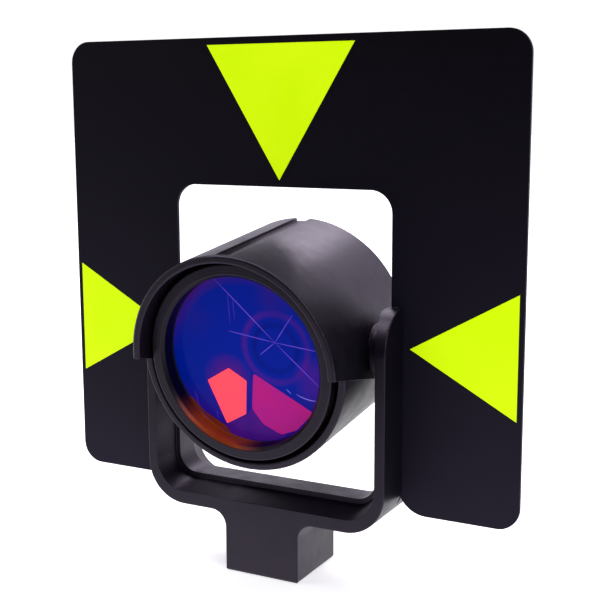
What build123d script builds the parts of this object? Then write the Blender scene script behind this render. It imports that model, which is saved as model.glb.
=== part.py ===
from build123d import *
import os

# Survey prism: a round corner-cube prism in a tilting hood, held by a U-shaped
# fork, with a lift-off target plate. Millimetres. X is the tilt axis, -Y is the
# side that the prism looks to, +Z is up. The origin is the centre of the socket
# mouth, on the stem's lower face.

# ---- driving dimensions -------------------------------------------------------
AXIS_HEIGHT = 86.0        # tilt axis above the stem's lower face
NOSE_DOWN = 7.17          # degrees that the head looks down at rest

# fork
STEM_HALF = 15.0          # half width and half depth of the square stem
BAR_BOTTOM = 22.45        # underside of the crossbar
ARM_OUTER = 48.6          # outer faces of the arms
MOUTH_INNER = 44.9        # inner edges of the arms' front and rear faces
MOUTH_FLOOR = 27.2        # upper edge of the crossbar's front and rear faces
STEP_INNER = 42.6         # the drafted inner faces end here, beside the middle rib
STEP_FLOOR = 30.1
RIB_INNER = 41.0          # inner faces of the arms' middle rib
RIB_HALF_DEPTH = 5.0
RIB_TOP = 31.9            # top of the crossbar's middle rib
FORK_CORNER = 15.35       # outer radius where the arms meet the crossbar
MOUTH_CORNER = 12.0       # inner radius there, on the front and rear faces
STEP_CORNER = 9.2
RIB_CORNER = 7.5          # inner radius there, on the middle rib
STEM_FILLET = 6.0
EDGE = 0.5                # rounding of the fork's outer edges
ARM_BOSS = 11.0           # radius of the rib's round end about the tilt axis

# socket and its lock
STUB_R = 6.0              # bore for the 12 mm stub of a pole or carrier
SLEEVE_R = 8.0
SOCKET_DEPTH = 25.4
LOWER_LAND = 12.5         # the bore's first stretch, up to the lock's recess
UPPER_LAND = 18.5         # the bore's second stretch starts here
RECESS_R = 6.8
LOCK_Z = 15.5             # middle height of the lock slide
LOCK_TRAVEL = 2.0
SLIDE_THICK = 3.0
SLIDE_HALF_WIDTH = 11.0
SLIDE_FRONT = -10.6
SLIDE_REAR = 12.8
TOOTH_HALF_WIDTH = 3.0
TOOTH_TIP = -4.9          # reaches into the groove of the stub
TONGUE_HALF_WIDTH = 4.0   # the slide's tongue, which the button sits on
TONGUE_INSERT = 1.5       # wall of the button over the tongue's end
SPRING_X = 8.5            # the springs' distance from the middle
SPRING_HOLE_FRONT = -13.6
SPRING_COIL_R = 0.9
SPRING_WIRE_R = 0.18
SPRING_LENGTH = 7.6
SPRING_TURNS = 7
POCKET_HALF_WIDTH = 1.25  # the slide's open pockets for the springs
POCKET_REAR = -5.5
COVER_THICK = 2.0
COVER_HALF_WIDTH = 12.4
COVER_HALF_HEIGHT = 5.4
COVER_SCREW_X = 9.0
COVER_SCREW_RISE = 3.7    # one screw sits above the middle and one below it
COVER_SCREW_R = 0.8
COVER_SCREW_HEAD_R = 1.55
COVER_SCREW_HEAD = 1.0
BUTTON_FACE = 20.2        # the button's outer face, behind the stem
BUTTON_HALF_WIDTH = 7.0
BUTTON_HALF_HEIGHT = 4.2
PRESS = 0.02              # radial play between pieces pressed together
PLAY = 0.1                # play around pieces that move or are screwed on

# tilt pivots
PIN_R = 3.4
PIN_CLEARANCE = 0.05
WASHER_R = 8.0
BUSH_R = 5.0
BUSH_END = 45.5
HOOD_BOSS = 9.0           # radius of the hood's pivot bosses
HOOD_PAD = 40.0           # their outer faces
PIN_HEAD_R = 5.4
PIN_HEAD_X = (34.4, 36.6)
PIN_SLOT_DEPTH = 0.9

# hood, in the head's own frame: the tilt axis is its origin, the optical axis is Y
HOOD_R = 39.9
HOOD_BORE = 37.1
HOOD_FRONT = -28.3
VISOR_FRONT = -35.7
HOOD_REAR = 24.9
HOOD_ROUNDING = 0.8       # of the hood's front and rear edges
SEAT_R = 34.1
SEAT_FRONT = -6.0
SEAT_REAR = 12.0
SKIRT_DROP = 9.5          # how far the hood's flat sides reach below the optical axis
SKIRT_KNEE = -4.4         # where the sides' sloping lower edge ends
GROOVE_WIDTH = 6.0        # sighting groove along the hood's top
GROOVE_FLOOR = 38.6
JOIN = 0.05               # overlap of solids that are one piece

# prism unit
RIM_R = 35.5
RIM_FRONT = -29.8
RIM_BEVEL = 1.1
THREAD_R = 33.6           # where the rim screws into the can
APERTURE_R = 30.8
CAN_FRONT = -26.5
GLASS_FRONT = -23.0
GLASS_R = 32.4
GLASS_APEX = 28.2         # the corner where the cube's three faces meet
GLASS_ROLL = 17.0         # degrees that the cube is turned about the optical axis
SEAL_THICK = 1.1
CUSHION_FRONT = -13.0
CUSHION_REAR = -7.0
CAVITY_STEP = 6.5
SPIGOT_R = 34.0
SPIGOT_REAR = 21.0
CAN_REAR = 31.0
CAN_REAR_R = 22.0
RING_THICK = 4.0          # the locking ring behind the hood's seat
RING_NOTCH = 2.0          # half width of its notches
PORT_R = 15.0             # opening in the can's rear, under the cover
PORT_LIP = 1.4            # how far the cover reaches into the port
BACK_COVER_THICK = 2.5
BACK_SCREW_CIRCLE = 18.5
BACK_SCREW_ANGLES = (90, 210, 330)
BACK_SCREW_R = 1.2
BACK_SCREW_HEAD_R = 2.3
BACK_SCREW_HEAD = 1.4

# target plate
PLATE_HALF_WIDTH = 91.5
PLATE_TOP = 194.3
PLATE_BOTTOM = 27.2
PLATE_FRONT = 0.9
PLATE_THICK = 1.2
PLATE_CORNER = 8.0
WINDOW_HALF = 43.9
WINDOW_TOP = 141.2
LEG_INNER = 46.7          # the legs' inner edges, inside the arms' grooves
LEG_INNER_CORNER = 11.0
SHOULDER = 101.05         # the plate's shoulders rest on the arms' round tops
GROOVE_PLAY = 0.15
FILM = 0.25               # thickness of the yellow sighting films
TOP_FILM_HALF = 29.6
TOP_FILM_TOP = 191.7
TOP_FILM_POINT = 143.7
SIDE_FILM_OUTER = 89.6
SIDE_FILM_POINT = 51.1
SIDE_FILM_LOW = 65.5
SIDE_FILM_MIDDLE = 86.8
SIDE_FILM_HIGH = 108.5

CUBE_TILT = 54.7356       # angle between a cube's edge and its body diagonal


# ---- small helpers ------------------------------------------------------------
def block(x0, x1, y0, y1, z0, z1):
    centre = Pos((x0 + x1) / 2, (y0 + y1) / 2, (z0 + z1) / 2)
    return centre * Box(x1 - x0, y1 - y0, z1 - z0)


def rod_x(radius, x0, x1):
    return Pos((x0 + x1) / 2, 0, 0) * Rot(0, 90, 0) * Cylinder(radius, x1 - x0)


def rod_y(radius, y0, y1):
    return Pos(0, (y0 + y1) / 2, 0) * Rot(90, 0, 0) * Cylinder(radius, y1 - y0)


def rod_z(radius, z0, z1):
    return Pos(0, 0, (z0 + z1) / 2) * Cylinder(radius, z1 - z0)


def is_one_of(vertex, points):
    return any((vertex.center() - Vector(x, y, 0)).length < 0.01 for x, y in points)


def turned(points, rounded=(), radius=0.5):
    """Solid turned about Y from (radius, y) points, with some corners rounded."""
    face = make_face(Polyline(*points, close=True))
    if rounded:
        face = fillet([v for v in face.vertices() if is_one_of(v, rounded)], radius)
    return revolve(face, Axis.Y)


def plate_xz(points, y0, y1):
    """Flat solid from (x, z) points, between two depths."""
    outline = Polyline(*[(x, y0, z) for x, z in points], close=True)
    return extrude(make_face(outline), amount=y1 - y0, dir=(0, 1, 0))


def plate_yz(points, x0, x1):
    """Flat solid from (y, z) points, between two x."""
    outline = Polyline(*[(x0, y, z) for y, z in points], close=True)
    return extrude(make_face(outline), amount=x1 - x0, dir=(1, 0, 0))


def edges_along_y(shape, x, z):
    """The edges along Y that stand at plus and minus x, at height z."""
    found = shape.edges().filter_by(Axis.Y)
    return [e for e in found if abs(abs(e.center().X) - x) < 0.05 and abs(e.center().Z - z) < 0.05]


def on_axis(shape):
    """Move a shape from the tilt axis to its height above the stem."""
    return Pos(0, 0, AXIS_HEIGHT) * shape


def in_head(shape):
    """Place a shape made in the head's own frame, looking slightly down."""
    return on_axis(Rot(NOSE_DOWN, 0, 0) * shape)


def write(node, shape):
    export_step(shape, f"parts/{node}.step")


# ---- fork ---------------------------------------------------------------------
def fork_opening(half_width, floor, corner, y):
    """Outline of the space between the arms at one depth, as a face."""
    top = AXIS_HEIGHT + 2 * STEM_HALF
    corners = [(-half_width, y, floor), (half_width, y, floor), (half_width, y, top), (-half_width, y, top)]
    face = make_face(Polyline(*corners, close=True))
    return fillet([v for v in face.vertices() if v.Z < floor + 1], corner)


def drafted_space(side):
    """The space before or behind the middle rib, which widens to its mouth."""
    past = STEM_HALF + 1
    share = (past - RIB_HALF_DEPTH) / (STEM_HALF - RIB_HALF_DEPTH)
    half_width = STEP_INNER + share * (MOUTH_INNER - STEP_INNER)
    floor = STEP_FLOOR + share * (MOUTH_FLOOR - STEP_FLOOR)
    mouth = fork_opening(half_width, floor, MOUTH_CORNER, side * past)
    step = fork_opening(STEP_INNER, STEP_FLOOR, STEP_CORNER, side * RIB_HALF_DEPTH)
    return loft([mouth, step], ruled=True)


def arm_outline():
    """The arms seen from the side: straight, with a round top about the tilt axis."""
    straight = block(-ARM_OUTER, ARM_OUTER, -STEM_HALF, STEM_HALF, 0, AXIS_HEIGHT)
    return straight + on_axis(rod_x(STEM_HALF, -ARM_OUTER, ARM_OUTER))


def fork_blank():
    """Stem, crossbar and arms seen from the front, cut to the arms' side outline."""
    top = AXIS_HEIGHT + 2 * STEM_HALF
    blank = block(-ARM_OUTER, ARM_OUTER, -STEM_HALF, STEM_HALF, BAR_BOTTOM, top)
    blank = fillet(edges_along_y(blank, ARM_OUTER, BAR_BOTTOM), FORK_CORNER)
    blank += block(-STEM_HALF, STEM_HALF, -STEM_HALF, STEM_HALF, 0, BAR_BOTTOM + 1)
    blank = fillet(edges_along_y(blank, STEM_HALF, BAR_BOTTOM), STEM_FILLET)
    blank &= arm_outline()
    rims = [e for e in blank.edges() if on_outer_edge(e)]
    blank = fillet(rims, EDGE)
    return chamfer(blank.faces().sort_by(Axis.Z)[0].edges(), 0.8 * EDGE)


def on_outer_edge(edge):
    """Whether an edge bounds the front or rear outline, or an arm's outer face."""
    box = edge.bounding_box()
    low = min(abs(box.min.Y), abs(box.max.Y))
    on_front_or_rear = abs(low - STEM_HALF) < 0.01 and box.max.Y * box.min.Y > 0
    outer_face = min(abs(box.min.X), abs(box.max.X)) > ARM_OUTER - 0.01
    return (on_front_or_rear or outer_face) and box.max.Z > 0.01 and box.min.Z < AXIS_HEIGHT + 1


def fork_yoke():
    fork = fork_blank()
    through = fork_opening(RIB_INNER, RIB_TOP, RIB_CORNER, -RIB_HALF_DEPTH)
    fork -= extrude(through, amount=2 * RIB_HALF_DEPTH, dir=(0, 1, 0))
    fork -= drafted_space(-1)
    fork -= drafted_space(1)
    # the middle rib ends at the tilt axis, in a round boss
    top = AXIS_HEIGHT + 2 * STEM_HALF
    fork -= block(-STEP_INNER, STEP_INNER, -RIB_HALF_DEPTH, RIB_HALF_DEPTH, AXIS_HEIGHT, top)
    for side in (-1, 1):
        ends = sorted((side * RIB_INNER, side * (MOUTH_INNER + 0.5)))
        fork += on_axis(rod_x(ARM_BOSS, *ends))
    return fork - socket_space() - plate_grooves() - pivot_bores()


def socket_space():
    """The hole for the sleeve and the slot for the lock, closed by its cover."""
    space = rod_z(SLEEVE_R + PRESS, -1, SOCKET_DEPTH + PLAY)
    rear = STEM_HALF - COVER_THICK
    front = SLIDE_FRONT - LOCK_TRAVEL - 3 * PLAY
    half = SLIDE_HALF_WIDTH + 2 * PLAY
    height = SLIDE_THICK / 2 + PLAY
    space += block(-half, half, front, rear, LOCK_Z - height, LOCK_Z + height)
    half = COVER_HALF_WIDTH + 2 * PLAY
    height = COVER_HALF_HEIGHT + 2 * PLAY
    space += block(-half, half, rear, STEM_HALF + 1, LOCK_Z - height, LOCK_Z + height)
    for side in (-1, 1):
        hole = rod_y(SPRING_COIL_R + 4 * PLAY, SPRING_HOLE_FRONT, front + 4 * PLAY)
        space += Pos(side * SPRING_X, 0, LOCK_Z) * hole
        space += screw_seat(side) * rod_y(COVER_SCREW_R + PLAY / 2, 9.0, rear + 1)
    return space


def screw_seat(side):
    """Where a screw of the lock's cover stands."""
    return Pos(side * COVER_SCREW_X, 0, LOCK_Z + side * COVER_SCREW_RISE)


def plate_grooves():
    """A groove down the outer face of each arm, where the target plate's legs slide."""
    y0 = PLATE_FRONT - GROOVE_PLAY
    y1 = PLATE_FRONT + PLATE_THICK + GROOVE_PLAY
    floor = LEG_INNER - 2 * GROOVE_PLAY
    top = AXIS_HEIGHT + STEM_HALF + 1
    right = block(floor, ARM_OUTER + 1, y0, y1, BAR_BOTTOM, top)
    left = block(-ARM_OUTER - 1, -floor, y0, y1, BAR_BOTTOM, top)
    return right + left


def pivot_bores():
    right = rod_x(BUSH_R + PRESS, RIB_INNER - 1, BUSH_END + PLAY)
    left = rod_x(BUSH_R + PRESS, -BUSH_END - PLAY, 1 - RIB_INNER)
    return on_axis(right) + on_axis(left)


def pivot_bush(side):
    ends = sorted((side * (RIB_INNER + PLAY), side * BUSH_END))
    inner = sorted((side * RIB_INNER, side * (BUSH_END + 1)))
    return on_axis(rod_x(BUSH_R, *ends) - rod_x(PIN_R + PIN_CLEARANCE, *inner))


def friction_washer(side):
    """Fibre washer between the hood's boss and the arm, which holds the tilt."""
    ends = sorted((side * (HOOD_PAD + PLAY), side * RIB_INNER))
    inner = sorted((side * (HOOD_PAD - 1), side * (RIB_INNER + 1)))
    return on_axis(rod_x(WASHER_R, *ends) - rod_x(PIN_R + 3 * PLAY, *inner))


def socket_sleeve():
    sleeve = rod_z(SLEEVE_R, 0, SOCKET_DEPTH)
    sleeve -= rod_z(STUB_R, -1, SOCKET_DEPTH + 1)
    sleeve -= rod_z(RECESS_R, LOWER_LAND, UPPER_LAND)
    height = SLIDE_THICK / 2 + 0.25
    half = TOOTH_HALF_WIDTH + 4 * PLAY
    return sleeve - block(-half, half, -SLEEVE_R - 1, 0, LOCK_Z - height, LOCK_Z + height)


# ---- stub lock ----------------------------------------------------------------
def lock_slide():
    """Flat slide around the sleeve; its tooth reaches into the stub's groove."""
    low = LOCK_Z - SLIDE_THICK / 2
    high = LOCK_Z + SLIDE_THICK / 2
    slide = block(-SLIDE_HALF_WIDTH, SLIDE_HALF_WIDTH, SLIDE_FRONT, SLIDE_REAR, low, high)
    hole_r = SLEEVE_R + 0.3
    slide -= rod_z(hole_r, low - 1, high + 1)
    slide -= Pos(0, LOCK_TRAVEL, 0) * rod_z(hole_r, low - 1, high + 1)
    slide -= block(-hole_r, hole_r, 0, LOCK_TRAVEL, low - 1, high + 1)
    slide += block(-TOOTH_HALF_WIDTH, TOOTH_HALF_WIDTH, SLIDE_FRONT + 1, TOOTH_TIP, low, high)
    tongue_end = BUTTON_FACE - TONGUE_INSERT
    slide += block(-TONGUE_HALF_WIDTH, TONGUE_HALF_WIDTH, SLIDE_REAR - 1, tongue_end, low, high)
    for side in (-1, 1):
        x0 = side * SPRING_X - POCKET_HALF_WIDTH
        x1 = side * SPRING_X + POCKET_HALF_WIDTH
        slide -= block(x0, x1, SLIDE_FRONT - 1, POCKET_REAR, low - 1, high + 1)
    return slide


def lock_springs():
    """Two small compression springs, between the fork and the slide's pockets."""
    path = Helix(SPRING_LENGTH / SPRING_TURNS, SPRING_LENGTH, SPRING_COIL_R)
    wire = sweep(Plane(origin=path @ 0, z_dir=path % 0) * Circle(SPRING_WIRE_R), path=path)
    start = SPRING_HOLE_FRONT + 3 * PLAY
    springs = []
    for side in (-1, 1):
        springs.append(Pos(side * SPRING_X, start, LOCK_Z) * Rot(-90, 0, 0) * wire)
    return Compound(children=springs)


def lock_cover():
    y0 = STEM_HALF - COVER_THICK
    z0 = LOCK_Z - COVER_HALF_HEIGHT
    z1 = LOCK_Z + COVER_HALF_HEIGHT
    cover = block(-COVER_HALF_WIDTH, COVER_HALF_WIDTH, y0, STEM_HALF, z0, z1)
    half = TONGUE_HALF_WIDTH + 2 * PLAY
    height = SLIDE_THICK / 2 + 2 * PLAY
    cover -= block(-half, half, y0 - 1, STEM_HALF + 1, LOCK_Z - height, LOCK_Z + height)
    counterbore = STEM_HALF - COVER_SCREW_HEAD - PLAY
    for side in (-1, 1):
        hole = rod_y(COVER_SCREW_R + 1.5 * PLAY, y0 - 1, STEM_HALF + 1)
        hole += rod_y(COVER_SCREW_HEAD_R + PLAY, counterbore, STEM_HALF + 1)
        cover -= screw_seat(side) * hole
    return cover


def lock_cover_screws():
    head = STEM_HALF - COVER_SCREW_HEAD - PLAY
    top = STEM_HALF - PLAY
    screw = rod_y(COVER_SCREW_R, 9.2, top) + rod_y(COVER_SCREW_HEAD_R, head, top)
    screw -= block(-1.1, 1.1, top - 0.4, STEM_HALF, -0.2, 0.2)
    return Compound(children=[screw_seat(side) * screw for side in (-1, 1)])


def lock_button():
    """Thumb button on the slide's tongue, behind the stem."""
    under = STEM_HALF + LOCK_TRAVEL + 2 * PLAY
    z0 = LOCK_Z - BUTTON_HALF_HEIGHT
    z1 = LOCK_Z + BUTTON_HALF_HEIGHT
    cap = block(-BUTTON_HALF_WIDTH, BUTTON_HALF_WIDTH, under, BUTTON_FACE, z0, z1)
    cap = fillet(cap.edges().filter_by(Axis.Y), 3.0)
    cap = fillet(cap.faces().sort_by(Axis.Y)[-1].edges(), 0.7)
    # grip grooves across the thumb face
    for step in (-2, -1, 0, 1, 2):
        x = 1.8 * step
        cap -= block(x - 0.35, x + 0.35, BUTTON_FACE - 0.4, BUTTON_FACE + 1, z0 + 1.2, z1 - 1.2)
    half = SLIDE_THICK / 2
    tongue_end = BUTTON_FACE - TONGUE_INSERT
    return cap - block(-TONGUE_HALF_WIDTH, TONGUE_HALF_WIDTH, 0, tongue_end, LOCK_Z - half, LOCK_Z + half)


# ---- hood ---------------------------------------------------------------------
def hood_shell(front):
    """The hood turned as a full tube, with the prism unit's seat inside."""
    points = [
        (HOOD_BORE, front),
        (HOOD_R, front),
        (HOOD_R, HOOD_REAR),
        (HOOD_BORE, HOOD_REAR),
        (HOOD_BORE, SEAT_REAR),
        (SEAT_R, SEAT_REAR),
        (SEAT_R, SEAT_FRONT),
        (HOOD_BORE, SEAT_FRONT),
    ]
    return turned(points, rounded=points[0:4], radius=HOOD_ROUNDING)


def hood_skirts():
    """Flat sides that hang below the optical axis, with a sloping lower edge."""
    front = VISOR_FRONT + HOOD_ROUNDING
    rear = HOOD_REAR - HOOD_ROUNDING - PLAY
    side = [
        (front, 3 * PLAY),
        (rear, 3 * PLAY),
        (rear, -SKIRT_DROP),
        (SKIRT_KNEE, -SKIRT_DROP),
        (front, 0),
    ]
    inner = HOOD_BORE - JOIN
    return plate_yz(side, inner, HOOD_R) + plate_yz(side, -HOOD_R, -inner)


def hood():
    room = 2 * HOOD_R
    upper = hood_shell(VISOR_FRONT) & block(-room, room, -room, room, 0, room)
    lower = hood_shell(HOOD_FRONT) & block(-room, room, -room, room, -room, 0)
    body = upper + lower + hood_skirts()
    for side in (-1, 1):
        body += rod_x(HOOD_BOSS, *sorted((side * (HOOD_BORE - JOIN), side * HOOD_PAD)))
    half = GROOVE_WIDTH / 2
    body -= block(-half, half, VISOR_FRONT + 1.6, HOOD_REAR + 1, GROOVE_FLOOR, room)
    body -= rod_x(PIN_R + PRESS, -HOOD_PAD - 1, HOOD_PAD + 1)
    body -= rod_x(PIN_HEAD_R + PLAY, -PIN_HEAD_X[1], PIN_HEAD_X[1])
    return in_head(body)


def pivot_pin(side):
    """Pin put in from inside the hood, turning in the arm's bush."""
    head = rod_x(PIN_HEAD_R, *sorted((side * PIN_HEAD_X[0], side * PIN_HEAD_X[1])))
    shank = rod_x(PIN_R, *sorted((side * PIN_HEAD_X[0], side * (BUSH_END - 3 * PLAY))))
    slot_ends = sorted((side * (PIN_HEAD_X[0] - 1), side * (PIN_HEAD_X[0] + PIN_SLOT_DEPTH)))
    slot = block(*slot_ends, -0.5, 0.5, -PIN_HEAD_R, PIN_HEAD_R)
    return in_head(head + shank - slot)


# ---- prism unit ---------------------------------------------------------------
def corner_of_cube(apex):
    """Half-space corner whose three faces meet at the apex, opening to the front."""
    size = 95                 # edge of a cube that covers the whole unit
    cube = Box(size, size, size, align=(Align.MIN, Align.MIN, Align.MIN))
    stood = Rot(0, 0, GLASS_ROLL) * Rot(0, -CUBE_TILT, 0) * Rot(0, 0, -45) * cube
    return Pos(0, apex, 0) * Rot(90, 0, 0) * stood


def corner_cube_prism():
    glass = rod_y(GLASS_R, GLASS_FRONT, GLASS_APEX) & corner_of_cube(GLASS_APEX)
    return in_head(glass)


def prism_cushions():
    """Three rubber wedges between the glass's slanted faces and the can."""
    gap = 1.5 * PLAY
    ring = rod_y(GLASS_R + gap, CUSHION_FRONT, CUSHION_REAR)
    return in_head(ring - corner_of_cube(GLASS_APEX + gap))


def front_ring():
    """Threaded rim that holds the glass and frames its clear face."""
    rear = GLASS_FRONT - SEAL_THICK
    points = [
        (APERTURE_R, rear),
        (APERTURE_R, RIM_FRONT + RIM_BEVEL),
        (APERTURE_R + RIM_BEVEL, RIM_FRONT),
        (RIM_R, RIM_FRONT),
        (RIM_R, CAN_FRONT),
        (THREAD_R, CAN_FRONT),
        (THREAD_R, rear),
    ]
    return in_head(turned(points, rounded=[points[2], points[3]], radius=0.5))


def front_seal():
    seal = rod_y(THREAD_R - 2 * PLAY, GLASS_FRONT - SEAL_THICK, GLASS_FRONT)
    return in_head(seal - rod_y(APERTURE_R, GLASS_FRONT - 2 * SEAL_THICK, GLASS_FRONT + 1))


def prism_can():
    """Metal can around the glass, with a cone at the rear."""
    inside = GLASS_R + 2 * PLAY
    bottom = inside - 0.6
    points = [
        (THREAD_R + JOIN, CAN_FRONT),
        (RIM_R, CAN_FRONT),
        (RIM_R, SEAT_FRONT),
        (SPIGOT_R, SEAT_FRONT),
        (SPIGOT_R, SPIGOT_REAR),
        (CAN_REAR_R, CAN_REAR),
        (PORT_R, CAN_REAR),
        (PORT_R, CAN_REAR - PORT_LIP - PLAY),
        (bottom, SPIGOT_REAR - 2),
        (bottom, CAVITY_STEP),
        (inside, CAVITY_STEP),
        (inside, GLASS_FRONT + PLAY),
        (THREAD_R + JOIN, GLASS_FRONT + PLAY),
    ]
    can = turned(points, rounded=[points[5]], radius=0.6)
    for angle in BACK_SCREW_ANGLES:
        can -= back_screw_seat(angle) * rod_y(BACK_SCREW_R + JOIN, CAN_REAR - 2, CAN_REAR + 1)
    return in_head(can)


def back_screw_seat(angle):
    """Where a screw of the back cover stands, in the head's own frame."""
    return Rot(0, angle, 0) * Pos(BACK_SCREW_CIRCLE, 0, 0)


def can_locking_ring():
    """Notched ring that clamps the can to the hood's seat from behind."""
    y0 = SEAT_REAR
    y1 = SEAT_REAR + RING_THICK
    ring = rod_y(HOOD_BORE - 3 * PLAY, y0, y1) - rod_y(SPIGOT_R + JOIN, y0 - 1, y1 + 1)
    notch = block(HOOD_BORE - RING_NOTCH, HOOD_BORE, -RING_NOTCH, RING_NOTCH, -RING_NOTCH, RING_NOTCH)
    for angle in range(0, 360, 60):
        ring -= Rot(0, angle, 0) * Pos(0, y1, 0) * notch
    return in_head(ring)


def back_cover():
    edge_r = CAN_REAR_R - 2 * PLAY
    face = CAN_REAR + BACK_COVER_THICK
    bevel = BACK_COVER_THICK / 2
    points = [
        (0, CAN_REAR - PORT_LIP),
        (PORT_R - PLAY, CAN_REAR - PORT_LIP),
        (PORT_R - PLAY, CAN_REAR),
        (edge_r, CAN_REAR),
        (edge_r, face - bevel),
        (edge_r - bevel, face),
        (0, face),
    ]
    cover = turned(points)
    for angle in BACK_SCREW_ANGLES:
        cover -= back_screw_seat(angle) * rod_y(BACK_SCREW_R + PLAY, CAN_REAR - 2, face + 1)
    return in_head(cover)


def back_cover_screws():
    under = CAN_REAR + BACK_COVER_THICK
    top = under + BACK_SCREW_HEAD
    head = rod_y(BACK_SCREW_HEAD_R, under, top)
    head = fillet(head.faces().sort_by(Axis.Y)[-1].edges(), 0.4)
    screw = rod_y(BACK_SCREW_R, CAN_REAR - 1.9, under + JOIN) + head
    # cross recess
    screw -= block(-1.5, 1.5, top - 0.8, top + 1, -0.3, 0.3)
    screw -= block(-0.3, 0.3, top - 0.8, top + 1, -1.5, 1.5)
    return Compound(children=[in_head(back_screw_seat(a) * screw) for a in BACK_SCREW_ANGLES])


# ---- target plate -------------------------------------------------------------
def target_plate():
    y0 = PLATE_FRONT
    y1 = PLATE_FRONT + PLATE_THICK
    plate = block(-PLATE_HALF_WIDTH, PLATE_HALF_WIDTH, y0, y1, PLATE_BOTTOM, PLATE_TOP)
    plate -= block(-LEG_INNER, LEG_INNER, y0 - 1, y1 + 1, 0, SHOULDER)
    plate -= block(-WINDOW_HALF, WINDOW_HALF, y0 - 1, y1 + 1, SHOULDER - 1, WINDOW_TOP)
    outer = edges_along_y(plate, PLATE_HALF_WIDTH, PLATE_TOP)
    outer += edges_along_y(plate, PLATE_HALF_WIDTH, PLATE_BOTTOM)
    outer += edges_along_y(plate, WINDOW_HALF, WINDOW_TOP)
    plate = fillet(outer, PLATE_CORNER)
    return fillet(edges_along_y(plate, LEG_INNER, PLATE_BOTTOM), LEG_INNER_CORNER)


def target_triangles():
    """The three yellow films: points towards the prism from above and from each side."""
    y1 = PLATE_FRONT
    y0 = PLATE_FRONT - FILM
    top = [(-TOP_FILM_HALF, TOP_FILM_TOP), (TOP_FILM_HALF, TOP_FILM_TOP), (0, TOP_FILM_POINT)]
    right = [
        (SIDE_FILM_OUTER, SIDE_FILM_HIGH),
        (SIDE_FILM_OUTER, SIDE_FILM_LOW),
        (SIDE_FILM_POINT, SIDE_FILM_MIDDLE),
    ]
    left = [(-x, z) for x, z in right]
    return {
        "target_triangle_top": plate_xz(top, y0, y1),
        "target_triangle_right": plate_xz(right, y0, y1),
        "target_triangle_left": plate_xz(left, y0, y1),
    }


# ---- write every node ---------------------------------------------------------
os.makedirs("parts", exist_ok=True)
for makes in (
    fork_yoke,
    socket_sleeve,
    lock_slide,
    lock_springs,
    lock_cover,
    lock_cover_screws,
    lock_button,
    hood,
    corner_cube_prism,
    prism_cushions,
    front_ring,
    front_seal,
    prism_can,
    can_locking_ring,
    back_cover,
    back_cover_screws,
    target_plate,
):
    write(makes.__name__, makes())
for name, side in (("left", -1), ("right", 1)):
    write(f"pivot_bush_{name}", pivot_bush(side))
    write(f"friction_washer_{name}", friction_washer(side))
    write(f"pivot_pin_{name}", pivot_pin(side))
for name, film in target_triangles().items():
    write(name, film)
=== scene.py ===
import math

import bmesh
import bpy
from mathutils import Matrix, Vector


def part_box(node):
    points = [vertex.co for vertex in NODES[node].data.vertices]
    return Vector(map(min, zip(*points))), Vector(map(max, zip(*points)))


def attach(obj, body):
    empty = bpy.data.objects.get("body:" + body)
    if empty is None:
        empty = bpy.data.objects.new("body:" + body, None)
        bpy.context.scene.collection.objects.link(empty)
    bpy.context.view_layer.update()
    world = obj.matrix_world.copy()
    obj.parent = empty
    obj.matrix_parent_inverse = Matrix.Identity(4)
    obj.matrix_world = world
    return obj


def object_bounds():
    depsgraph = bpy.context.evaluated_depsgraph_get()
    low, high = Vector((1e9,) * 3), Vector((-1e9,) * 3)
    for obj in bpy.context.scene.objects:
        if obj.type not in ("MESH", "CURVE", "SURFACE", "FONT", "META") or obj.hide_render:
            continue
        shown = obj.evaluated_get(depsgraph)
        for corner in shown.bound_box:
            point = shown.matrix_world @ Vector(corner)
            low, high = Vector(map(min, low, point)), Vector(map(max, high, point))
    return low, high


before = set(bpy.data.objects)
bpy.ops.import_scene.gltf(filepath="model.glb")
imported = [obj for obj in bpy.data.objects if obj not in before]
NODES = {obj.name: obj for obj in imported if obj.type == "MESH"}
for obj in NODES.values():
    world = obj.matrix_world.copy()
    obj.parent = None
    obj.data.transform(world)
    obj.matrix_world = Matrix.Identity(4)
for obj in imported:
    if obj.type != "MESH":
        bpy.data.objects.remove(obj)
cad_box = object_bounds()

MM = 0.001


# ---- the head's own frame -----------------------------------------------------
# Its origin is the middle of the tilt axis, and the optical axis is its Y.
def middle(node):
    low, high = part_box(node)
    return (low + high) / 2


NOSE_DOWN = math.radians(7.17)     # how far the head is tilted at rest
AXIS = (middle("pivot_pin_left") + middle("pivot_pin_right")) / 2
HEAD = Matrix.Translation(AXIS) @ Matrix.Rotation(NOSE_DOWN, 4, "X")


def in_head(node):
    """A node's points in the head's frame, in mm."""
    back = HEAD.inverted()
    return [(back @ v.co) / MM for v in NODES[node].data.vertices]


FACE_Y = min(p.y for p in in_head("corner_cube_prism"))
APERTURE_R = min(math.hypot(p.x, p.z) for p in in_head("front_ring"))


# ---- painted reflections in the glass, in mm across and up in the head's frame ---
RINGS_CENTRE = (11.4, 4.8)
RINGS = (                # radius, half width, colour and strength of each painted ghost reflection ring
    (12.4, 1.7, (74, 22, 130), 0.75),
    (8.4, 1.5, (0, 12, 96), 0.6),
)
GLOWS = (                # centre, reach, colour and strength of each painted glow of reflected light
    ((-8.6, -9.0), 10.5, (96, 14, 104), 0.85),
    ((27.0, -6.0), 10.0, (96, 20, 132), 0.5),
    ((-21.0, 13.0), 9.0, (40, 16, 110), 0.25),
    ((12.0, 23.0), 9.0, (44, 20, 118), 0.6),
)
GLOW_CORE = 0.25         # share of a glow's reach that has its full strength
RIM_GLOW = ((72, 16, 92), 0.85)
RIM_GLOW_START = 0.86    # share of the clear face's radius where the painted glow at the upper rim starts
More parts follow.
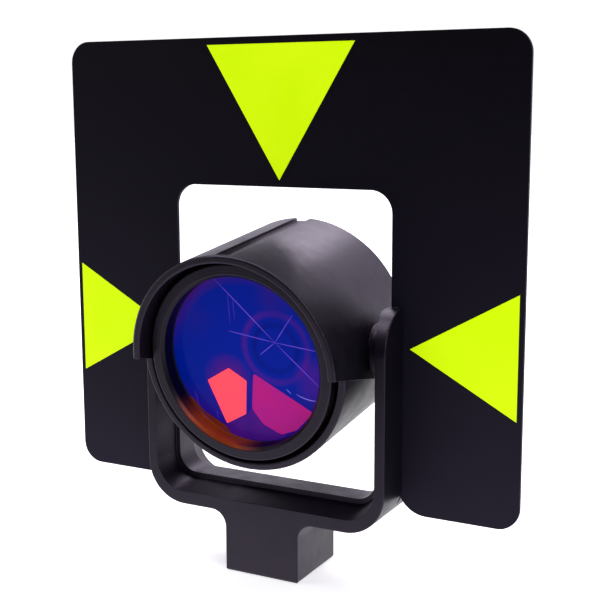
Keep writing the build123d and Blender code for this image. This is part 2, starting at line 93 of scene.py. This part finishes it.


# ---- node materials -----------------------------------------------------------
# Colours are display values from 0 to 255. Noise and cell scales are in waves per metre,
# so 38 makes patches of 26 mm and 1500 makes a grain under 1 mm.
def linear(*colour):
    """A display colour as linear light."""
    light = [c / 255 / 12.92 if c <= 10 else ((c / 255 + 0.055) / 1.055) ** 2.4 for c in colour]
    return (*light, 1.0)


def shade(colour, gain, lift=0):
    """A colour made lighter or darker, as linear light."""
    return linear(*[min(255, c * gain + lift) for c in colour])


class Tree:
    """A material's node tree, with short calls for the nodes used here. Lengths are in mm."""

    def __init__(self, name):
        self.material = bpy.data.materials.new(name)
        self.material.use_nodes = True
        self.nodes = self.material.node_tree.nodes
        self.links = self.material.node_tree.links
        self.shader = next(n for n in self.nodes if n.type == "BSDF_PRINCIPLED")
        self.coords = self.nodes.new("ShaderNodeTexCoord").outputs["Object"]

    def put(self, socket, value):
        """Links another node's output to a socket, or sets the socket to a value."""
        if isinstance(value, bpy.types.NodeSocket):
            self.links.new(value, socket)
        elif value is not None:
            socket.default_value = value

    def make(self, kind, inputs=None, **settings):
        """A new node, with its settings and inputs."""
        node = self.nodes.new("ShaderNode" + kind)
        for key, value in settings.items():
            setattr(node, key, value)
        for key, value in (inputs or {}).items():
            self.put(node.inputs[key], value)
        return node

    def set(self, **inputs):
        """Sets or links the shader's own sockets."""
        for key, value in inputs.items():
            self.put(self.shader.inputs[key.replace("_", " ")], value)

    def math(self, operation, a, b=None):
        return self.make("Math", {0: a, 1: b}, operation=operation).outputs[0]

    def plus(self, a, b):
        return self.math("ADD", a, b)

    def minus(self, a, b):
        return self.math("SUBTRACT", a, b)

    def times(self, a, b):
        return self.math("MULTIPLY", a, b)

    def axes(self, vector):
        """A vector's X, Y and Z."""
        return self.make("SeparateXYZ", {0: vector}).outputs

    def stretched(self, x, y, z):
        """Coordinates scaled differently along each axis, for streaks."""
        return self.make("Mapping", {"Vector": self.coords, "Scale": (x, y, z)}).outputs[0]

    def noise(self, scale, detail, rough=0.55, at=None, distort=0.0):
        inputs = {"Vector": at or self.coords, "Scale": scale, "Detail": detail}
        inputs.update({"Roughness": rough, "Distortion": distort})
        return self.make("TexNoise", inputs).outputs["Fac"]

    def cells(self, scale, feature="F1"):
        inputs = {"Vector": self.coords, "Scale": scale}
        return self.make("TexVoronoi", inputs, feature=feature).outputs["Distance"]

    def remap(self, value, low, high, to_low, to_high):
        """A value's range mapped to another one, and held inside it."""
        inputs = {"Value": value, "From Min": low, "From Max": high}
        inputs.update({"To Min": to_low, "To Max": to_high})
        return self.make("MapRange", inputs).outputs["Result"]

    def spread(self, noise, to_low, to_high):
        """The range that a noise mostly stays in, mapped to another one."""
        return self.remap(noise, 0.3, 0.7, to_low, to_high)

    def mix(self, share, a, b):
        node = self.make("Mix", data_type="RGBA")
        for index, value in ((0, share), (6, a), (7, b)):      # the node's sockets for colours
            self.put(node.inputs[index], value)
        return node.outputs[2]

    def bump(self, height, depth, strength, over=None):
        inputs = {"Height": height, "Distance": depth * MM, "Strength": strength, "Normal": over}
        return self.make("Bump", inputs).outputs[0]

    def rounded(self, radius):
        """Normal that is rounded over the edges."""
        return self.make("Bevel", {"Radius": radius * MM}, samples=6).outputs[0]

    def edges(self, radius):
        """1 on a sharp edge and 0 on a flat, from how far the rounded normal turns."""
        true = self.make("NewGeometry").outputs["Normal"]
        inputs = {0: self.rounded(radius), 1: true}
        turned = self.make("VectorMath", inputs, operation="DOT_PRODUCT").outputs["Value"]
        return self.remap(turned, 0.995, 0.80, 0.0, 1.0)


SHEEN = (0.86, 0.72, 1.0, 1.0)     # the black parts' highlights lean to violet
LATHE_MARKS = 5200.0               # radians per metre, so the rings are 1.2 mm apart
LATHE_SLOPE = 0.83                 # lets the same rings run round cylindrical faces
COPPER_LIGHT_WAY = (-0.42, -0.91)        # where the painted copper light lies from the middle, across and up


def head_axes(t):
    """Object coordinates turned into the head's frame, in metres."""
    place = t.make("VectorMath", {0: t.coords, 1: tuple(AXIS)}, operation="SUBTRACT").outputs[0]
    inputs = {"Vector": place, "Angle": -NOSE_DOWN}
    turned = t.axes(t.make("VectorRotate", inputs, rotation_type="X_AXIS").outputs[0])
    return turned["X"], turned["Y"], turned["Z"]


def distance(t, x, z, centre=(0, 0)):
    """How far a point is from a centre given in mm, seen along the optical axis."""
    across = t.minus(x, centre[0] * MM)
    up = t.minus(z, centre[1] * MM)
    return t.math("SQRT", t.plus(t.times(across, across), t.times(up, up)))


def dark_plastic(name, colour, worn, rough, grain, depth):
    """Satin moulded plastic: fine spark grain, slow tone and gloss changes, rubbed edges."""
    t = Tree(name)
    cloud = t.noise(38, 3)
    patch = t.noise(160, 5, 0.6)
    rub = t.times(t.edges(0.7), t.remap(t.noise(420, 4, 0.7), 0.35, 0.62, 0.05, 0.6))
    tone = t.mix(t.spread(cloud, 0.0, 1.0), linear(*colour), shade(colour, 1.16, 1))
    specks = t.remap(t.cells(520), 0.02, 0.06, 0.35, 0.0)
    scuffed = t.times(specks, t.remap(patch, 0.5, 0.7, 0.0, 1.0))
    tone = t.mix(scuffed, tone, linear(*worn))
    t.set(Base_Color=t.mix(rub, tone, linear(*worn)))
    slow = t.remap(cloud, 0.35, 0.65, -0.03, 0.04)
    dull = t.plus(t.spread(patch, rough - 0.05, rough + 0.06), slow)
    t.set(Roughness=t.minus(dull, t.times(rub, 0.1)))
    fine = t.bump(t.noise(grain, 2, 0.5), depth, 0.8, t.rounded(0.4))
    t.set(Normal=t.bump(t.noise(90, 2), 0.12, 0.25, fine), Specular_Tint=SHEEN)
    return t.material


def sheet_black(name):
    """Matt black sheet of the target: orange-peel lacquer, faint rubbing marks, paler cut edges, and
    painted light and shade, darker at the top and lighter at the bottom.
    """
    t = Tree(name)
    cloud = t.noise(16, 3)
    lacquer = t.noise(900, 3, 0.5)
    marks = t.noise(60, 5, 0.65, at=t.stretched(1.0, 1.0, 7.0), distort=0.6)
    low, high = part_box("target_plate")
    # painted light and shade: the sheet is painted darker towards the top and lighter towards the bottom,
    # as the floor's light falls on it
    painted_floor_light = t.remap(t.axes(t.coords)["Z"], low.z, high.z, 1.0, 0.0)
    tone = t.mix(painted_floor_light, linear(2, 1, 5), linear(33, 30, 45))
    tone = t.mix(t.remap(cloud, 0.35, 0.7, 0.0, 0.25), tone, linear(15, 12, 24))
    rub = t.times(t.edges(0.5), t.remap(t.noise(300, 4, 0.7), 0.3, 0.6, 0.25, 0.9))
    t.set(Base_Color=t.mix(rub, tone, linear(58, 55, 66)))
    t.set(Specular_IOR_Level=0.2, Specular_Tint=SHEEN)
    rubbed = t.remap(marks, 0.35, 0.65, 0.50, 0.56)
    t.set(Roughness=t.plus(rubbed, t.spread(lacquer, -0.02, 0.02)))
    t.set(Normal=t.bump(lacquer, 0.05, 0.5, t.bump(cloud, 0.2, 0.3)))
    return t.material


def sight_film(name):
    """Fluorescent sighting film: tiny sealed cells under a clear face, with a painted glow for its
    fluorescent brightness.
    """
    t = Tree(name)
    cell = t.cells(1150, "DISTANCE_TO_EDGE")
    seam = t.remap(cell, 0.02, 0.10, 1.0, 0.0)
    tone = t.mix(t.spread(t.noise(45, 3), 0.0, 1.0), linear(211, 252, 0), linear(219, 255, 10))
    tone = t.mix(t.times(seam, 0.16), tone, linear(176, 214, 0))
    # painted glow: the film's colour is also given out as emission
    t.set(Base_Color=tone, Emission_Color=tone, Emission_Strength=0.5)
    t.set(Roughness=t.spread(t.noise(240, 4), 0.36, 0.5), Specular_IOR_Level=0.15)
    t.set(Normal=t.bump(cell, 0.06, 0.35))
    return t.material


def turned_metal(name, colour, worn, rough, metallic, light_painter=None):
    """Lathe-turned and anodised metal: fine rings about the optical axis, rubbed edges."""
    t = Tree(name)
    x, y, z = head_axes(t)
    along = t.plus(distance(t, x, z), t.times(y, LATHE_SLOPE))
    wave = t.math("SINE", t.times(along, LATHE_MARKS))
    uneven = t.noise(70, 4)
    rub = t.times(t.edges(0.6), t.remap(t.noise(330, 4, 0.7), 0.3, 0.6, 0.3, 1.0))
    tone = t.mix(t.spread(uneven, 0.0, 1.0), linear(*colour), shade(colour, 1.22, 2))
    tone = t.mix(rub, tone, linear(*worn))
    # painted light and shade laid over the colour by the given function
    if light_painter:
        tone = light_painter(t, x, z, tone)
    t.set(Base_Color=tone, Metallic=metallic, Specular_Tint=SHEEN)
    t.set(Roughness=t.plus(t.spread(uneven, rough - 0.05, rough + 0.07), t.times(wave, 0.02)))
    pores = t.bump(t.noise(1500, 2), 0.03, 0.4, t.rounded(0.3))
    t.set(Normal=t.bump(wave, 0.012, 0.5, pores))
    return t.material


def bare_metal(name, colour, rough):
    """Plated or cut metal: streaks, stains and small scratches."""
    t = Tree(name)
    streak = t.noise(500, 4, 0.6, at=t.stretched(1.0, 1.0, 0.08))
    stain = t.noise(120, 4)
    tone = t.mix(t.remap(stain, 0.35, 0.7, 0.0, 0.6), linear(*colour), shade(colour, 0.72))
    t.set(Base_Color=tone, Metallic=1.0)
    streaked = t.spread(streak, rough - 0.06, rough + 0.08)
    t.set(Roughness=t.plus(streaked, t.spread(stain, 0.0, 0.08)))
    t.set(Normal=t.bump(streak, 0.03, 0.5, t.rounded(0.15)))
    return t.material


def soft_black(name, colour, rough, pits, light_painter=None):
    """Rubber or fibre: dull, pitted and slightly dusty."""
    t = Tree(name)
    dust = t.noise(140, 5, 0.65)
    tone = t.mix(t.remap(dust, 0.45, 0.75, 0.0, 0.4), linear(*colour), shade(colour, 1.5, 8))
    # painted light and shade laid over the colour by the given function
    if light_painter:
        x, _, z = head_axes(t)
        tone = light_painter(t, x, z, tone)
    t.set(Base_Color=tone, Roughness=t.spread(dust, rough - 0.06, rough + 0.06))
    t.set(Normal=t.bump(t.cells(pits), 0.06, 0.5, t.rounded(0.2)))
    return t.material


def coated_glass(name):
    """The prism's clear face over its blue film, with painted reflections in it: violet ghost rings and
    glows, all given out as a painted glow by emission.
    """
    t = Tree(name)
    x, _, z = head_axes(t)
    cloud = t.noise(30, 3, 0.5, distort=0.8)
    uneven = t.spread(t.noise(75, 3), 0.35, 1.0)

    def glow(tone, share, colour, most):
        """Lays a colour over the film by a share, a little unevenly, and most at its strongest."""
        return t.mix(t.times(t.times(share, uneven), most), tone, linear(*colour))

    # a little lighter to the right, and more violet towards the bottom
    across = t.remap(x, -30 * MM, 30 * MM, 0.0, 1.0)
    tone = t.mix(across, linear(0, 24, 132), linear(4, 26, 140))
    down = t.remap(z, -10 * MM, -26 * MM, 0.0, 1.0)
    tone = t.mix(t.times(down, t.remap(cloud, 0.35, 0.6, 0.4, 0.9)), tone, linear(44, 8, 118))
    # painted reflections: ghost rings, glows and the upper rim's glow laid over the film's blue
    for radius, half, colour, most in RINGS:
        off = t.math("ABSOLUTE", t.minus(distance(t, x, z, RINGS_CENTRE), radius * MM))
        tone = glow(tone, t.remap(off, 0.0, half * MM, 1.0, 0.0), colour, most)
    for centre, reach, colour, most in GLOWS:
        off = distance(t, x, z, centre)
        near = t.remap(off, GLOW_CORE * reach * MM, reach * MM, 1.0, 0.0)
        tone = glow(tone, near, colour, most)
    rim = t.remap(distance(t, x, z), RIM_GLOW_START * APERTURE_R * MM, APERTURE_R * MM, 0.0, 1.0)
    tone = glow(tone, t.times(rim, t.remap(z, 0.0, 20 * MM, 0.0, 1.0)), *RIM_GLOW)
    dust = t.remap(t.cells(900), 0.012, 0.03, 0.12, 0.0)
    dusty = t.times(dust, t.remap(t.noise(120, 4), 0.5, 0.65, 0.0, 1.0))
    tone = t.mix(dusty, tone, linear(120, 130, 190))
    # painted glow: the face's colour, with its painted reflections, is also given out as emission
    t.set(Base_Color=tone, Emission_Color=tone, Emission_Strength=0.6)
    t.set(Roughness=t.spread(t.noise(200, 4), 0.10, 0.16))
    t.set(IOR=1.5, Specular_IOR_Level=0.05, Coat_Weight=0.0)
    t.set(Normal=t.bump(cloud, 0.05, 0.1))
    return t.material


def film_glow(name, colour, second, strength):
    """A film's reflection seen in the glass: even colour with a slow shift to a second one."""
    t = Tree(name)
    cloud = t.noise(55, 3, 0.5, distort=0.5)
    grain = t.noise(1400, 2)
    tone = t.mix(t.remap(cloud, 0.35, 0.65, 0.0, 1.0), linear(*colour), linear(*second))
    tone = t.mix(t.remap(grain, 0.55, 0.8, 0.0, 0.15), tone, shade(colour, 1.0, 24))
    t.set(Base_Color=tone, Emission_Color=tone, Emission_Strength=strength)
    t.set(Roughness=t.spread(grain, 0.17, 0.25), Specular_IOR_Level=0.05, Coat_Weight=0.0)
    t.set(Normal=t.bump(cloud, 0.04, 0.15))
    return t.material


def painted_copper_light_and_shade(t, x, z, tone):
    """Painted light and shade on the rim's bore and the seal: the copper light seen at the prism's lower
    left is painted on them and given out as emission, and the bore is painted near black as painted
    shade.
    """
    toward = t.plus(t.times(x, COPPER_LIGHT_WAY[0]), t.times(z, COPPER_LIGHT_WAY[1]))
    near = t.remap(toward, 0.80 * APERTURE_R * MM, 0.97 * APERTURE_R * MM, 0.0, 1.0)
    radius = distance(t, x, z)
    inside = t.remap(radius, (APERTURE_R + 0.9) * MM, (APERTURE_R + 1.2) * MM, 1.0, 0.0)
    patchy = t.remap(t.noise(90, 3), 0.3, 0.6, 0.6, 1.0)
    share = t.times(t.times(near, inside), patchy)
    copper = t.mix(near, linear(58, 12, 12), linear(142, 54, 10))
    # painted glow: the copper light is also given out as emission
    t.set(Emission_Color=copper, Emission_Strength=t.times(share, 0.28))
    # painted shade: the bore is painted near black, with the painted copper light over it
    return t.mix(share, t.mix(inside, tone, linear(4, 3, 6)), copper)


# ---- materials on the CAD nodes -----------------------------------------------
RUBBER = {"colour": (18, 18, 19), "rough": 0.72, "pits": 1800}
FINISHES = {             # by the name of the record's material slot
    "moulded_black": dark_plastic(
        "moulded_plastic", (11, 9, 18), worn=(70, 64, 80), rough=0.39, grain=1500, depth=0.06
    ),
    "button_black": dark_plastic(
        "button_plastic", (14, 14, 15), worn=(52, 52, 56), rough=0.52, grain=2200, depth=0.08
    ),
    "bare_steel": bare_metal("plated_steel", (178, 180, 184), rough=0.30),
    "bush_bronze": bare_metal("bronze", (150, 112, 62), rough=0.34),
    "washer_fibre": soft_black("fibre", (64, 46, 34), rough=0.8, pits=1400),
    "seal_rubber": soft_black("rubber", **RUBBER),
    "anodised_black": turned_metal(
        "anodised_metal", (24, 23, 27), worn=(90, 88, 94), rough=0.38, metallic=0.4
    ),
    "coated_glass": coated_glass("blue_film_glass_painted_reflections"),
    "plate_black": sheet_black("target_sheet"),
    "film_yellow": sight_film("sight_film"),
}
OWN_FINISHES = {         # the two nodes around the glass that take the painted copper light and the bore's painted shade
    # the rim's rubbed edges are wear, made light enough to be painted edge highlights as well
    "front_ring": turned_metal(
        "rim_metal_painted_light", (26, 24, 31), worn=(150, 144, 158), rough=0.36, metallic=0.35, light_painter=painted_copper_light_and_shade
    ),
    "front_seal": soft_black("rim_rubber_painted_light", light_painter=painted_copper_light_and_shade, **RUBBER),
}
for obj in NODES.values():
    for place in obj.material_slots:
        place.material = FINISHES[place.material.name.split(".")[0]]
for node, finish in OWN_FINISHES.items():
    NODES[node].material_slots[0].material = finish


# ---- meshes -------------------------------------------------------------------
CORNER_STEPS = 5         # parts of a tile's rounded corner
LINE_STEPS = 12          # parts of a straight line, so that its ends can taper
ARC_STEPS = 16
TILE_THICK = 0.04
STRIP_THICK = 0.03
LAYER = 0.05             # each tile stands this much nearer than the one behind it
EDGE_GAP = 0.03          # what a tile leaves free at the edge of the clear face


def piece(name, mesh_maker, material):
    """A mesh piece in the prism, made in the head's frame in mm, and riding on the head."""
    bm = bmesh.new()
    mesh_maker(bm)
    bmesh.ops.recalc_face_normals(bm, faces=bm.faces)
    bm.transform(HEAD @ Matrix.Scale(MM, 4))
    mesh = bpy.data.meshes.new(name)
    bm.to_mesh(mesh)
    bm.free()
    mesh.materials.append(material)
    obj = bpy.data.objects.new(name, mesh)
    bpy.context.scene.collection.objects.link(obj)
    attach(obj, "prism_head")


def facet(bm, outline, layer, thick):
    """A thin closed tile from an (x, z) outline, some layers in front of the prism's face."""
    y = FACE_Y - LAYER * layer
    face = bm.faces.new([bm.verts.new((x, y, z)) for x, z in inside_aperture(outline)])
    made = bmesh.ops.extrude_face_region(bm, geom=[face])
    back = [v for v in made["geom"] if isinstance(v, bmesh.types.BMVert)]
    bmesh.ops.translate(bm, verts=back, vec=(0, thick, 0))


def inside_aperture(points):
    """Pulls an outline's points back to the edge of the clear face."""
    pulled = []
    for x, z in points:
        r = math.hypot(x, z)
        k = min(1.0, (APERTURE_R - EDGE_GAP) / r) if r else 1.0
        pulled.append((x * k, z * k))
    return pulled


def rounded_outline(corners):
    """Outline with its corners cut to short curves. Each corner is (x, z, radius)."""
    points = []
    count = len(corners)
    for i, (x, z, radius) in enumerate(corners):
        here = Vector((x, z))
        before = (Vector(corners[i - 1][:2]) - here).normalized()
        after = (Vector(corners[(i + 1) % count][:2]) - here).normalized()
        reach = radius / math.tan(before.angle(after) / 2)
        start, end = here + before * reach, here + after * reach
        for k in range(CORNER_STEPS + 1):
            s = k / CORNER_STEPS
            curve = start * (1 - s) ** 2 + here * 2 * s * (1 - s) + end * s ** 2
            points.append((curve.x, curve.y))
    return points


def ribbon(points, width):
    """Outline of a strip along a line of points, with narrow ends."""
    left, right = [], []
    last = len(points) - 1
    for i, (x, z) in enumerate(points):
        a = Vector(points[max(i - 1, 0)])
        b = Vector(points[min(i + 1, last)])
        side = (b - a).normalized().orthogonal() * width / 2
        taper = min(1.0, 0.25 + 3 * min(i, last - i) / len(points))
        left.append((x + side.x * taper, z + side.y * taper))
        right.append((x - side.x * taper, z - side.y * taper))
    return left + right[::-1]


def straight(a, b):
    shares = [k / LINE_STEPS for k in range(LINE_STEPS + 1)]
    return [(a[0] + (b[0] - a[0]) * s, a[1] + (b[1] - a[1]) * s) for s in shares]


def arc(centre, radius, start, end):
    points = []
    for k in range(ARC_STEPS + 1):
        a = math.radians(start + (end - start) * k / ARC_STEPS)
        points.append((centre[0] + radius * math.cos(a), centre[1] + radius * math.sin(a)))
    return points


def tile(name, corners, layer, material):
    outline = rounded_outline(corners)
    piece(name, lambda bm: facet(bm, outline, layer, TILE_THICK), material)


def strips(name, lines, width, layer, material):
    def make(bm):
        for line in lines:
            facet(bm, ribbon(line, width), layer, STRIP_THICK)
    piece(name, make, material)


# ---- painted reflections in the prism: tiles for the faces' reflections, glowing strips for the edges, ghost reflections and glints ----
APEX = (11.4, 6.9)       # where the cube's corner appears from the front
PENTAGON = [
    (-8.2, -4.4, 0.7),
    (-1.2, -8.4, 0.9),
    (-2.4, -21.0, 0.8),
    (-10.7, -25.6, 0.6),
    (-17.4, -9.9, 0.7),
]
MAGENTA = [
    (1.8, -5.3, 0.8),
    (24.6, -17.3, 1.0),
    (17.6, -24.6, 2.0),
    (11.4, -27.0, 2.0),
    (4.4, -24.0, 4.0),
    (0.2, -18.6, 3.0),
]
VIOLET = [
    (-11.8, -26.0, 1.0),
    (-2.0, -21.4, 1.0),
    (0.4, -17.8, 1.0),
    (5.6, -22.0, 2.0),
    (14.0, -26.6, 1.0),
    (8.0, -31.0, 1.0),
    (-2.0, -32.0, 2.0),
    (-8.6, -31.0, 1.5),
]
COPPER = [
    (-25.6, -16.6, 0.4),
    (-19.8, -22.2, 2.0),
    (-11.8, -26.4, 2.0),
    (-7.6, -30.6, 0.5),
    (-17.0, -28.6, 3.0),
    (-25.0, -21.0, 3.0),
]
EDGES = [
    straight((-10.8, 27.8), APEX),
    straight(APEX, (28.0, -7.9)),
    straight((-6.9, 9.5), APEX),
    straight(APEX, (28.8, 5.1)),
    straight((18.9, 17.4), APEX),
    straight(APEX, (5.0, 1.8)),
]
GHOSTS = [
    straight((-4.3, 22.0), (-4.0, 13.6)),
    straight((-6.2, 24.0), (-6.0, 12.0)),
    straight((-23.3, -14.4), (-21.9, -20.6)),
    straight((-14.9, -21.1), (-14.0, -24.4)),
]
GLINTS = [
    arc((25.4, 2.4), 15.2, -118, -86),
    straight((14.6, -9.6), (16.4, -11.2)),
]

# painted reflections: each tile and strip is a glowing sheet of reflected colour over the prism's face
tile("prism_reflection_violet", VIOLET, 1, film_glow("violet_glow", (46, 14, 112), (72, 16, 120), 0.6))
tile("prism_reflection_copper", COPPER, 1, film_glow("copper_glow", (116, 42, 8), (86, 26, 10), 0.5))
tile("prism_reflection_magenta", MAGENTA, 2, film_glow("magenta_glow", (166, 24, 108), (154, 24, 118), 0.72))
tile("prism_reflection_red", PENTAGON, 2, film_glow("red_glow", (255, 72, 84), (250, 66, 90), 0.88))
strips("prism_edge_glow_lines", EDGES, 0.32, 3, film_glow("edge_violet_glow", (104, 74, 190), (76, 56, 176), 0.75))
strips("prism_ghost_lines", GHOSTS, 0.45, 2, film_glow("ghost_violet", (56, 40, 158), (40, 32, 146), 0.6))
strips("prism_glints", GLINTS, 0.34, 3, film_glow("glint_blue", (124, 104, 206), (96, 88, 196), 0.7))


# ---- floor, light and camera --------------------------------------------------
FLOOR_R = 6.0
FLOOR_DROP = 0.2 * MM    # keeps the floor clear of the stem's foot
WORLD_DIM = -0.10        # Y of the directions where the world's light is dimmest
WORLD_BRIGHT = 0.85      # and where it is brightest, behind the object


def pale_floor():
    """Even pale floor. What it throws back on the object fades towards the front, as a short
    paper sweep does. From below it is clear, so that the object's underside can be seen."""
    t = Tree("pale_floor")
    below = t.make("NewGeometry").outputs["Backfacing"]
    seen = t.make("LightPath").outputs["Is Camera Ray"]
    away = t.make("VectorMath", {0: t.coords}, operation="LENGTH").outputs["Value"]
    sweep = t.remap(t.axes(t.coords)["Y"], -0.50, 0.15, 0.0, 1.6)
    white = t.remap(away, 0.2, 1.6, 0.62, 1.1)
    paper = t.spread(t.noise(3.0, 2), 0.0, 1.0)
    tone = t.mix(paper, (0.94, 0.94, 0.95, 1.0), (0.92, 0.92, 0.93, 1.0))
    t.set(Base_Color=t.mix(seen, (0.01, 0.01, 0.01, 1.0), tone), Emission_Color=tone)
    t.set(Roughness=0.9, Alpha=t.minus(1.0, below))
    t.set(Emission_Strength=t.plus(t.times(seen, white), t.times(sweep, t.minus(1.0, seen))))
    return t.material


def stage_floor():
    bm = bmesh.new()
    bmesh.ops.create_circle(bm, cap_ends=True, segments=96, radius=FLOOR_R)
    bmesh.ops.translate(bm, verts=bm.verts, vec=(0, 0, cad_box[0].z - FLOOR_DROP))
    mesh = bpy.data.meshes.new("floor")
    bm.to_mesh(mesh)
    bm.free()
    mesh.materials.append(pale_floor())
    obj = bpy.data.objects.new("floor", mesh)
    bpy.context.scene.collection.objects.link(obj)


def studio_world():
    """White behind the object for the camera. The light itself is bright behind and dim in front."""
    world = bpy.data.worlds.new("studio")
    world.use_nodes = True
    tree = world.node_tree
    tree.nodes.clear()

    def node(kind, **values):
        made = tree.nodes.new("ShaderNode" + kind)
        for key, value in values.items():
            made.inputs[key.replace("_", " ")].default_value = value
        return made

    way = node("TexCoord")
    split = node("SeparateXYZ")
    span = node("MapRange", From_Min=WORLD_DIM, From_Max=WORLD_BRIGHT, To_Min=0.02, To_Max=1.2)
    span.interpolation_type = "SMOOTHSTEP"
    light = node("Background", Color=(0.93, 0.88, 1.0, 1.0))
    white = node("Background", Color=(1.0, 1.0, 1.0, 1.0), Strength=1.05)
    path = node("LightPath")
    mixer = node("MixShader")
    out = node("OutputWorld")
    for source, target in (
        (way.outputs["Generated"], split.inputs[0]),
        (split.outputs["Y"], span.inputs["Value"]),
        (span.outputs[0], light.inputs["Strength"]),
        (path.outputs["Is Camera Ray"], mixer.inputs[0]),
        (light.outputs[0], mixer.inputs[1]),
        (white.outputs[0], mixer.inputs[2]),
        (mixer.outputs[0], out.inputs["Surface"]),
    ):
        tree.links.new(source, target)
    bpy.context.scene.world = world


def softbox(name, place, aim_height, size, watts, colour):
    """A rectangular lamp, aimed at a height on the object's own axis."""
    lamp = bpy.data.lights.new(name, "AREA")
    lamp.shape = "RECTANGLE"
    lamp.size, lamp.size_y = size
    lamp.energy = watts
    lamp.color = colour
    obj = bpy.data.objects.new(name, lamp)
    obj.location = place
    aim = Vector((0, 0, aim_height)) - Vector(place)
    obj.rotation_euler = aim.to_track_quat("-Z", "Y").to_euler()
    bpy.context.scene.collection.objects.link(obj)


def photo_camera(eye, look, roll, lens):
    camera = bpy.data.cameras.new("camera")
    camera.sensor_width = 36.0
    camera.lens = lens
    camera.clip_start = 0.02
    camera.clip_end = 30.0
    viewer = bpy.data.objects.new("camera", camera)
    turn = (look - eye).to_track_quat("-Z", "Y").to_matrix().to_4x4()
    viewer.matrix_world = Matrix.Translation(eye) @ turn @ Matrix.Rotation(roll, 4, "Z")
    bpy.context.scene.collection.objects.link(viewer)
    bpy.context.scene.camera = viewer


stage_floor()
studio_world()
softbox("key_right", (0.95, -0.75, 0.95), 0.1, (0.9, 0.9), 7, (1.0, 0.98, 1.0))
softbox("fill_left", (-1.1, -0.7, 0.5), 0.1, (0.8, 0.8), 2, (0.95, 0.93, 1.0))
softbox("top", (0.1, 0.35, 1.2), 0.1, (1.2, 0.8), 8, (0.97, 0.94, 1.0))
softbox("crown", (-0.55, -0.20, 1.05), 0.08, (0.5, 0.5), 5, (0.98, 0.96, 1.0))
softbox("back_high", (-0.15, 0.80, 1.15), 0.1, (0.6, 0.6), 7, (1.0, 0.90, 1.0))
for side in ("top", "left", "right"):     # the black parts show no reflection of the triangles
    NODES["target_triangle_" + side].visible_glossy = False
photo_camera(
    eye=Vector((0.2026, -0.3672, 0.1706)),
    look=Vector((0.0086, 0.0, 0.1010)),
    roll=math.radians(-0.21),
    lens=70.25,
)
bpy.context.scene.view_settings.view_transform = "Standard"
